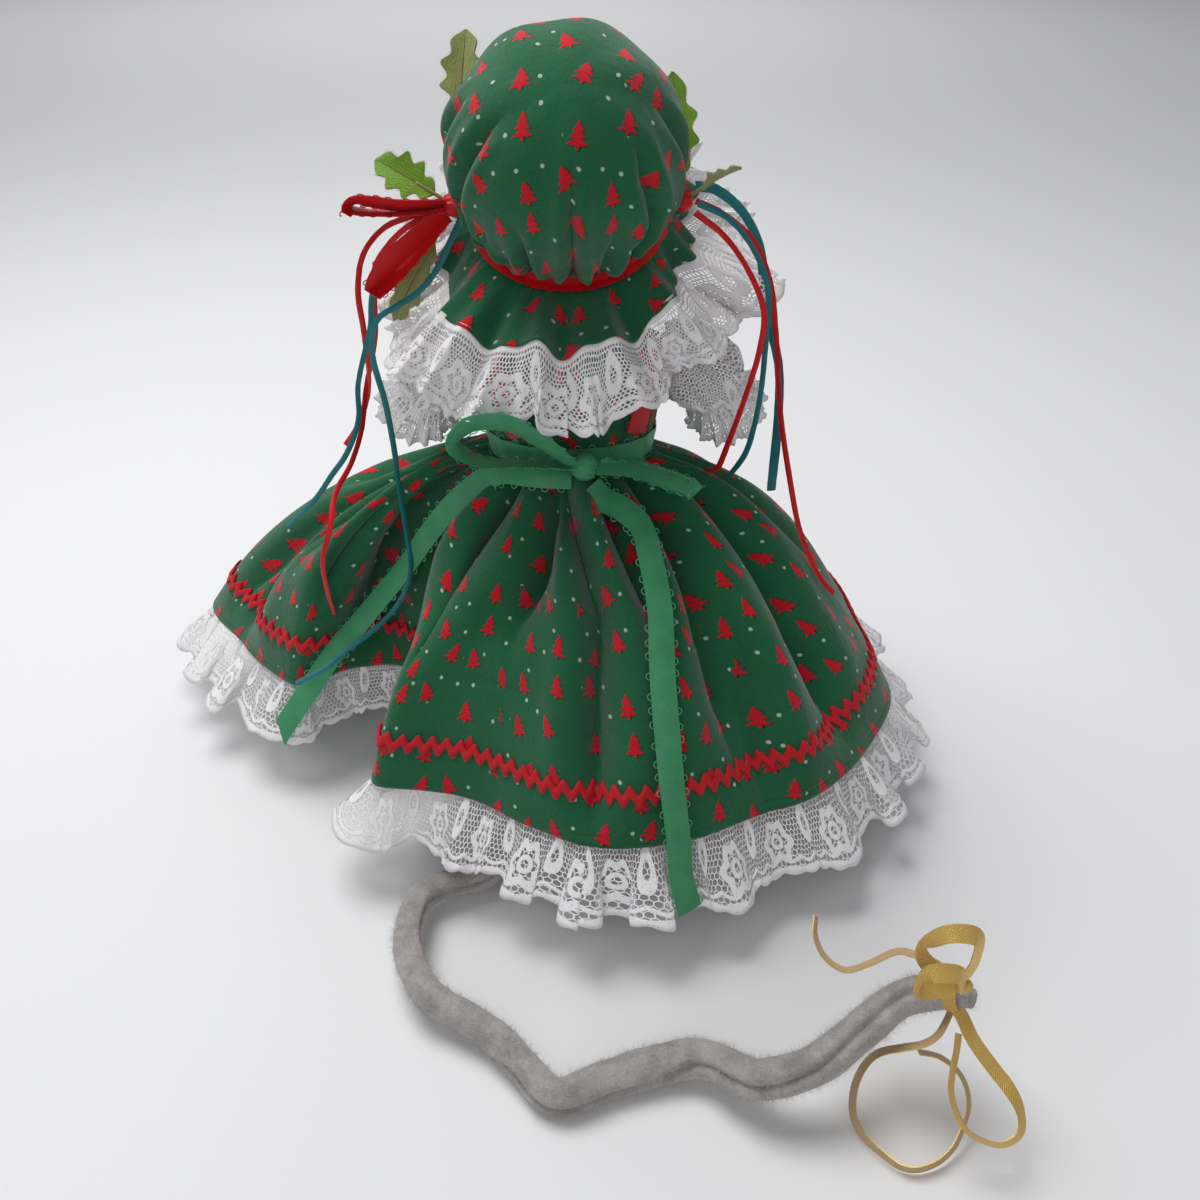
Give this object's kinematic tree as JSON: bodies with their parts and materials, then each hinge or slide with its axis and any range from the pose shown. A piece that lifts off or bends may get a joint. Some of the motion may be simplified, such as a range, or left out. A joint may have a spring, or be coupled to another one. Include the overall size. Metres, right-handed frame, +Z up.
{
  "type": "stuffed mouse doll",
  "caption": "Stuffed felt mouse doll in a printed frock and gathered cap, with lace, ribbon bows, holly leaves and a long wired tail.",
  "frame": {"origin": "floor under the middle of the doll's bounding box, its loose ribbon ends left out", "axes": "+Z up, +Y the way the doll faces, +X towards its right hand as seen from behind"},
  "size_m": [0.3368, 0.3511, 0.3004],
  "materials": {
    "grey_felt": "fuzzy wool felt",
    "pink_felt": "fuzzy wool felt",
    "black_bead": "polished",
    "steel_wire": "plain drawn wire",
    "sole_board": "felt over stiff card",
    "printed_cotton": "plain weave, printed with small red trees and white dots",
    "white_lace": "machine lace on hexagonal net",
    "red_ribbon": "woven satin with looped edges",
    "green_ribbon": "woven satin with looped edges",
    "teal_ribbon": "woven satin",
    "leaf_cloth": "flocked cloth with a pale edge",
    "gold_ribbon": "metallic weave, dull tan on its back"
  },
  "bodies": {
    "frock_body": {"body": "grey_felt", "body_frame": "steel_wire", "bodice": "printed_cotton", "skirt": "printed_cotton", "hem_lace": "white_lace", "rickrack": "red_ribbon", "strap_left": "red_ribbon", "strap_right": "red_ribbon", "sash_band": "green_ribbon", "sash_knot": "green_ribbon", "sash_loop_left": "green_ribbon", "sash_loop_right": "green_ribbon", "sash_tail_left": "green_ribbon", "sash_tail_right": "green_ribbon"},
    "head": {"head": "grey_felt", "nose": "pink_felt", "left_eye": "black_bead", "right_eye": "black_bead", "left_ear": "pink_felt", "right_ear": "pink_felt", "cap_crown": "printed_cotton", "cap_band": "red_ribbon", "cap_brim": "printed_cotton", "brim_lace": "white_lace", "red_bow": "red_ribbon", "sprig_knot": "red_ribbon", "leaf_left_top": "leaf_cloth", "leaf_left_middle": "leaf_cloth", "leaf_left_low": "leaf_cloth", "leaf_right_top": "leaf_cloth", "leaf_right_side": "leaf_cloth", "streamer_left_red_1": "red_ribbon", "streamer_left_red_2": "red_ribbon", "streamer_right_red_1": "red_ribbon", "streamer_right_red_2": "red_ribbon", "streamer_left_teal_1": "teal_ribbon", "streamer_left_teal_2": "teal_ribbon", "streamer_right_teal_1": "teal_ribbon", "streamer_right_teal_2": "teal_ribbon"},
    "left_arm": {"left_arm": "grey_felt", "left_arm_wire": "steel_wire", "left_sleeve": "white_lace"},
    "right_arm": {"right_arm": "grey_felt", "right_arm_wire": "steel_wire", "right_sleeve": "white_lace"},
    "left_leg": {"left_leg": "grey_felt", "left_leg_wire": "steel_wire", "left_sole": "sole_board"},
    "right_leg": {"right_leg": "grey_felt", "right_leg_wire": "steel_wire", "right_sole": "sole_board"},
    "tail": {"tail": "grey_felt", "tail_wire": "steel_wire", "gold_wrap": "gold_ribbon", "gold_bow": "gold_ribbon", "gold_streamer_left": "gold_ribbon", "gold_streamer_ring": "gold_ribbon", "gold_streamer_drop": "gold_ribbon"}
  },
  "joints": [
    {"name": "head_turn", "type": "hinge", "parent": "frock_body", "child": "head", "pos_m": [0.01539, 0.02204, 0.217], "axis": [0, 0, 1], "range_deg": [-15, 15], "deforming": ["streamer_left_red_1", "streamer_left_red_2", "streamer_right_red_1", "streamer_right_red_2", "streamer_left_teal_1", "streamer_left_teal_2", "streamer_right_teal_1", "streamer_right_teal_2"]},
    {"name": "left_arm_swing", "type": "hinge", "parent": "frock_body", "child": "left_arm", "pos_m": [-0.01692, 0.02204, 0.188], "axis": [1, 0, 0], "range_deg": [-5, 45]},
    {"name": "right_arm_swing", "type": "hinge", "parent": "frock_body", "child": "right_arm", "pos_m": [0.0477, 0.02204, 0.188], "axis": [1, 0, 0], "range_deg": [-5, 45]},
    {"name": "left_leg_swing", "type": "hinge", "parent": "frock_body", "child": "left_leg", "pos_m": [-0.00361, 0.02204, 0.088], "axis": [1, 0, 0], "range_deg": [-10, 30]},
    {"name": "right_leg_swing", "type": "hinge", "parent": "frock_body", "child": "right_leg", "pos_m": [0.03439, 0.02204, 0.088], "axis": [1, 0, 0], "range_deg": [-10, 30]},
    {"name": "tail_swing", "type": "hinge", "parent": "frock_body", "child": "tail", "pos_m": [0.01539, -0.00596, 0.118], "axis": [0, 0, 1], "range_deg": [-8, 8]}
  ]
}
